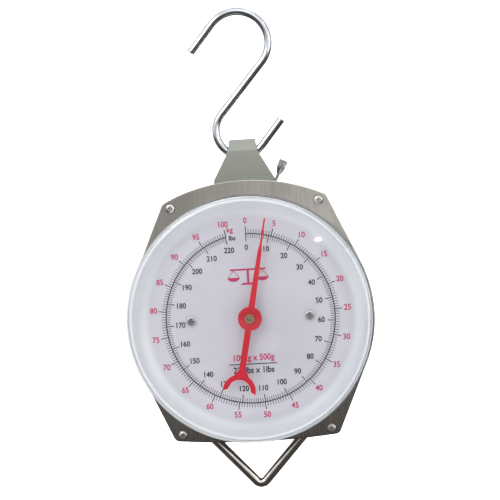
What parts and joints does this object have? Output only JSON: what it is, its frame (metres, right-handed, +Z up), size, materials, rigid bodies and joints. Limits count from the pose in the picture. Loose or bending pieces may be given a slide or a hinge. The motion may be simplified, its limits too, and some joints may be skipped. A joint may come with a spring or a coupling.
{
  "type": "hanging spring scale",
  "caption": "Hanging dial scale: S-hook, folded yoke, steel case, white dial with a red pointer under a clear lens, and a V-shaped load bow.",
  "frame": {"origin": "inside top of the S-hook's upper bow, where it hangs on a rail", "axes": "+Z up, along the hanging line; -Y out of the dial; +X to the right as the dial is read"},
  "size_m": [0.2232, 0.0745, 0.4402],
  "materials": {
    "hook_zinc": "bright zinc plated wire",
    "yoke_grey": "satin grey",
    "case_steel": "fine vertical brush",
    "screw_zinc": "zinc plated",
    "lens_clear": "clear moulded plastic",
    "dial_white": "white",
    "pointer_red": "red enamel",
    "brass": "turned",
    "guide_plastic": "natural",
    "bow_steel": "zinc plated rod",
    "knob_nickel": "knurled, nickel plated",
    "spring_steel": "oiled",
    "frame_steel": "zinc plated sheet",
    "print_red": "ink",
    "print_black": "ink"
  },
  "bodies": {
    "s_hook": {"s_hook": "hook_zinc"},
    "case": {"yoke": "yoke_grey", "back_pan": "case_steel", "front_cover": "case_steel", "case_screws": "screw_zinc", "lens": "lens_clear", "yoke_bolts": "frame_steel", "yoke_nuts": "frame_steel", "yoke_sleeves": "frame_steel", "anchor_pins": "frame_steel", "upper_spring_plugs": "frame_steel", "anchor_bar": "frame_steel", "main_spring_left": "spring_steel", "main_spring_right": "spring_steel", "chassis_plate": "frame_steel", "chassis_spacers": "frame_steel", "chassis_screws": "frame_steel", "bridge_plate": "frame_steel", "bridge_pillars": "frame_steel", "pillar_screws": "frame_steel", "front_bush": "brass", "rear_bush": "brass", "guide_pin": "frame_steel", "rack_guide": "guide_plastic", "zero_nut": "brass", "case_posts": "frame_steel", "dial_plate": "dial_white", "dial_standoffs": "frame_steel", "dial_screws": "screw_zinc", "lens_seat_ring": "dial_white", "zero_bracket": "frame_steel"},
    "pull": {"crosshead": "frame_steel", "lower_spring_plugs": "frame_steel", "lower_plug_nuts": "frame_steel", "rack": "frame_steel", "rack_screws": "frame_steel"},
    "load_bow": {"load_bow": "bow_steel"},
    "pointer": {"spindle": "frame_steel", "pinion": "brass", "pointer": "pointer_red", "pointer_nut": "brass"},
    "zero_knob": {"zero_knob": "knob_nickel"}
  },
  "joints": [
    {"name": "case_swing", "type": "hinge", "parent": "s_hook", "child": "case", "pos_m": [0, 0, -0.1052], "axis": [0, 1, 0], "range_deg": [-12, 12]},
    {"name": "load_travel", "type": "slide", "parent": "case", "child": "pull", "axis": [0, 0, -1], "range_m": [-0.00081, 0.02338], "stiffness_N_per_m": 40550, "deforming": ["main_spring_left", "main_spring_right"]},
    {"name": "pointer_turn", "type": "hinge", "parent": "case", "child": "pointer", "pos_m": [0, 0, -0.2767], "axis": [0, 1, 0], "range_deg": [-11.7, 335]},
    {"name": "bow_rock", "type": "hinge", "parent": "pull", "child": "load_bow", "pos_m": [0, 0, -0.3477], "axis": [1, 0, 0], "range_deg": [-5, 5]},
    {"name": "zero_turn", "type": "hinge", "parent": "case", "child": "zero_knob", "pos_m": [0.0287, 0.009, -0.1517], "axis": [0.4289, 0, 0.9033], "range_deg": [-1080, 1080]}
  ],
  "couplings": [
    {"joint": "pointer_turn", "follows": "load_travel", "rad_per_m": 250}
  ]
}
